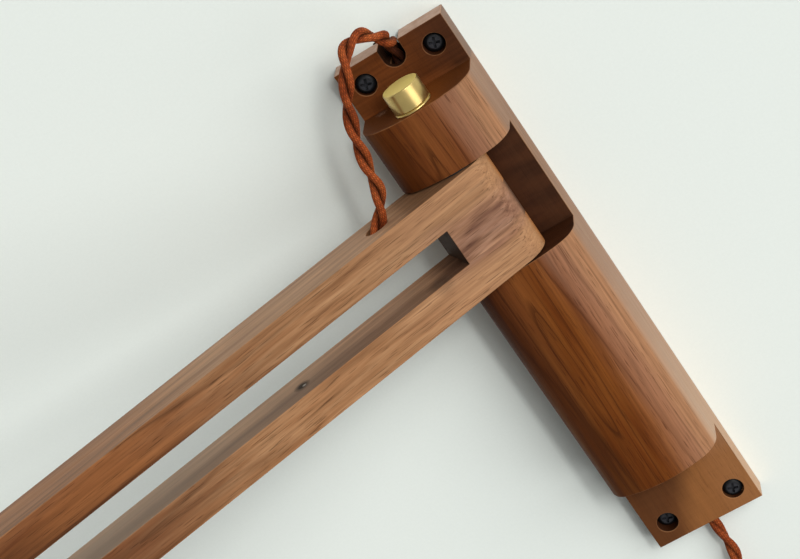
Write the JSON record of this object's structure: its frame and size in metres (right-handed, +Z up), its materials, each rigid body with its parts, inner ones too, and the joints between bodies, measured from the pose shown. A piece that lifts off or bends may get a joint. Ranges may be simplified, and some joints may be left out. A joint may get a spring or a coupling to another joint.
{
  "type": "swing arm wall lamp",
  "caption": "Walnut swing arm wall lamp: a wall base with a brass dimmer knob, a hinged twin-rail arm, a lampholder with globe bulb, and a twisted cloth cord.",
  "frame": {"origin": "centre of the four wall screws, on the wall's surface", "axes": "+X to the right along the wall as seen from the room, +Y into the wall, +Z up"},
  "size_m": [0.4766, 0.2653, 0.4873],
  "materials": {
    "walnut": "oiled, satin",
    "beech": "plain",
    "black_steel": "black, satin",
    "steel": "turned",
    "nylon": "matt",
    "black_fibre": "matt",
    "dimmer_plastic": "matt",
    "brass": "polished",
    "block_plastic": "matt",
    "lead_sleeve": "matt",
    "cord_fabric": "braided cover, twisted pair",
    "tie_leather": "smooth",
    "plug_resin": "gloss",
    "porcelain": "glazed",
    "cap_metal": "satin",
    "opal_glass": "opal"
  },
  "bodies": {
    "base": {"wall_base": "walnut", "wall_screws": "black_steel", "back_cover_screws": "black_steel", "pivot_pin": "steel", "pin_plate": "steel", "pin_plate_screws": "steel", "loop_cord_grip": "nylon", "power_cord_grip": "nylon", "back_cover": "black_fibre", "upper_thrust_washer": "black_fibre", "lower_thrust_washer": "black_fibre", "dimmer_case": "dimmer_plastic", "dimmer_nut": "brass", "knob_washer": "brass", "terminal_screws": "brass", "plug_pins": "brass", "terminal_block": "block_plastic", "dimmer_leads": "lead_sleeve", "power_cord_inside": "cord_fabric", "loop_cord_inside": "cord_fabric", "loop_cord": "cord_fabric", "power_cord": "cord_fabric", "power_cord_coil": "cord_fabric", "coil_tie": "tie_leather", "plug_body": "plug_resin"},
    "arm": {"arm_upper_rail": "walnut", "arm_lower_rail": "walnut", "hinge_spacer": "walnut", "tip_spacer": "walnut", "rail_dowels": "beech", "arm_upper_bush": "brass", "arm_lower_bush": "brass", "channel_strip": "walnut", "channel_strip_screws": "brass", "arm_cord": "cord_fabric", "lamp_stem": "brass", "stem_nut": "brass", "tip_washer": "brass", "lampholder_cup": "brass", "lampholder_insulator": "porcelain", "lampholder_shell": "brass", "lampholder_contact": "brass", "bulb_cap": "cap_metal", "bulb_glass": "opal_glass"},
    "knob": {"dimmer_shaft": "steel", "dimmer_knob": "brass", "knob_grub_screw": "black_steel"}
  },
  "joints": [
    {"name": "arm_swing", "type": "hinge", "parent": "base", "child": "arm", "pos_m": [0, -0.026, 0.0517], "axis": [0, 0, 1], "range_deg": [-26, 154], "deforming": ["loop_cord"]},
    {"name": "knob_turn", "type": "hinge", "parent": "base", "child": "knob", "pos_m": [-0.0008, -0.0275, 0.108], "axis": [0, 0, 1], "range_deg": [0, 300]}
  ]
}
